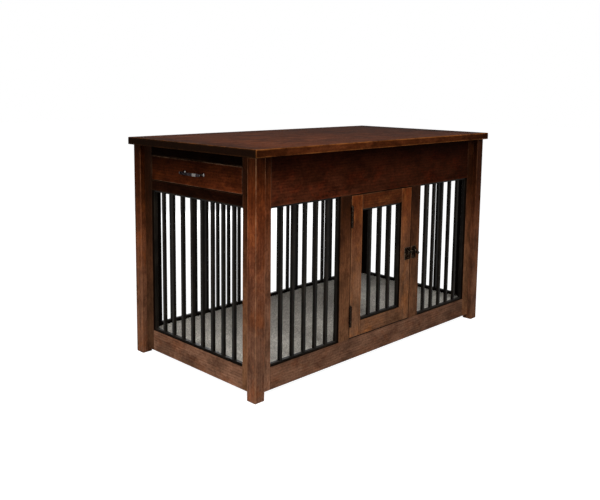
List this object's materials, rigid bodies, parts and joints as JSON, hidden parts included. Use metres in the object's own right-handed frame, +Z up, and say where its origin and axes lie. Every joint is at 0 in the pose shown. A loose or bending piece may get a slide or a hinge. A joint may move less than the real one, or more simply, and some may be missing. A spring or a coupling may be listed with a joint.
{
  "type": "dog crate end table",
  "caption": "Wooden end table whose base is a dog crate with steel bars, a hinged front door with a slide bolt, a carpeted floor and a drawer in one end.",
  "frame": {"origin": "on the floor, at the middle of the base", "axes": "+X along the table's length, away from the end with the drawer; +Y from the front with the door to the back; +Z up"},
  "size_m": [1.254, 0.662, 0.762],
  "materials": {
    "top_wood": "dark brown stain, satin lacquer",
    "leg_wood": "brown stain, satin lacquer",
    "rail_wood": "brown stain, satin lacquer",
    "apron_wood": "dark brown stain, satin lacquer",
    "door_wood": "red-brown stain, satin lacquer",
    "drawer_wood": "red-brown stain, satin lacquer",
    "plain_wood": "bare plywood and solid wood",
    "black_steel": "black powder coat, satin",
    "dark_bronze": "dark bronze plating, satin",
    "dark_nickel": "dark nickel plating, brushed",
    "zinc_steel": "bright zinc plating",
    "carpet": "grey cut pile"
  },
  "bodies": {
    "frame": {"table_top": "top_wood", "leg_front_left": "leg_wood", "leg_front_right": "leg_wood", "leg_back_left": "leg_wood", "leg_back_right": "leg_wood", "front_stile_left": "rail_wood", "front_stile_right": "rail_wood", "front_apron": "apron_wood", "front_bottom_rail": "rail_wood", "back_stile_left": "rail_wood", "back_stile_right": "rail_wood", "back_apron": "apron_wood", "back_bottom_rail": "rail_wood", "door_jamb_left": "rail_wood", "door_jamb_right": "rail_wood", "left_stile_front": "rail_wood", "left_stile_back": "rail_wood", "left_top_rail": "apron_wood", "left_drawer_rail": "apron_wood", "left_bottom_rail": "rail_wood", "right_stile_front": "rail_wood", "right_stile_back": "rail_wood", "right_apron": "apron_wood", "right_bottom_rail": "rail_wood", "grille_front_left": "black_steel", "grille_front_right": "black_steel", "grille_left_end": "black_steel", "grille_right_end": "black_steel", "grille_back": "black_steel", "floor_carpet": "carpet", "floor_panel": "plain_wood", "floor_cleat_front": "plain_wood", "floor_cleat_back": "plain_wood", "hinge_top_frame_leaf": "dark_bronze", "hinge_top_pin": "dark_bronze", "hinge_bottom_frame_leaf": "dark_bronze", "hinge_bottom_pin": "dark_bronze", "latch_keeper": "dark_bronze", "drawer_bearer_front": "plain_wood", "drawer_bearer_back": "plain_wood", "slide_channel_front": "zinc_steel", "slide_channel_back": "zinc_steel"},
    "door": {"door_stile_left": "door_wood", "door_stile_right": "door_wood", "door_rail_top": "door_wood", "door_rail_bottom": "door_wood", "door_grille": "black_steel", "hinge_top_door_leaf": "dark_bronze", "hinge_bottom_door_leaf": "dark_bronze", "latch_plate": "dark_bronze"},
    "bolt": {"latch_bolt": "dark_bronze", "latch_knob": "dark_bronze"},
    "drawer": {"drawer_front": "drawer_wood", "drawer_side_front": "plain_wood", "drawer_side_back": "plain_wood", "drawer_back": "plain_wood", "drawer_bottom": "plain_wood", "drawer_pull": "dark_nickel", "slide_runner_front": "zinc_steel", "slide_runner_back": "zinc_steel"}
  },
  "joints": [
    {"name": "door_swing", "type": "hinge", "parent": "frame", "child": "door", "pos_m": [-0.168, -0.2995, 0.34], "axis": [0, 0, -1], "range_deg": [0, 165]},
    {"name": "bolt_slide", "type": "slide", "parent": "door", "child": "bolt", "axis": [1, 0, 0], "range_m": [0, 0.012]},
    {"name": "drawer_slide", "type": "slide", "parent": "frame", "child": "drawer", "axis": [-1, 0, 0], "range_m": [0, 0.33]}
  ]
}
